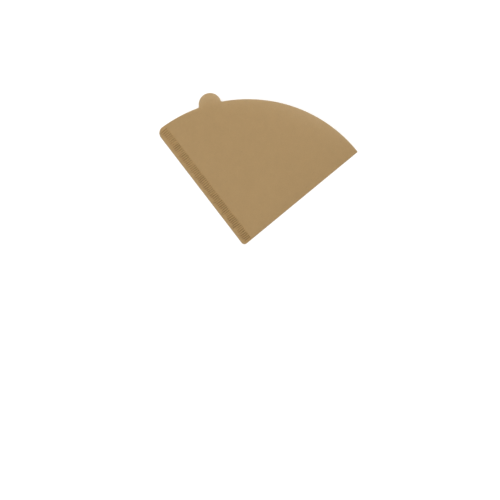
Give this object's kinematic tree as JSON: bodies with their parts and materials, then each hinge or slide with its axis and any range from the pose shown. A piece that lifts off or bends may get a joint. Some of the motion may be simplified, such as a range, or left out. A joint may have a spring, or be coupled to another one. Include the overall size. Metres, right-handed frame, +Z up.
{
  "type": "cone paper coffee filter",
  "caption": "Cone coffee filter of folded unbleached paper, lying flat, with a crimped seam, a round finger tab and its mouth sprung slightly open.",
  "frame": {"origin": "centre of the bounding box's underside, on the surface that the filter lies on", "axes": "+Z up from the lower ply, +Y from the tip along the middle of the sector to the mouth, +X from the seam to the fold"},
  "size_m": [0.1662, 0.122, 0.0074],
  "materials": {
    "paper": "matt, unbleached, lightly creped"
  },
  "bodies": {
    "root": {"filter_paper": "paper"}
  },
  "joints": []
}
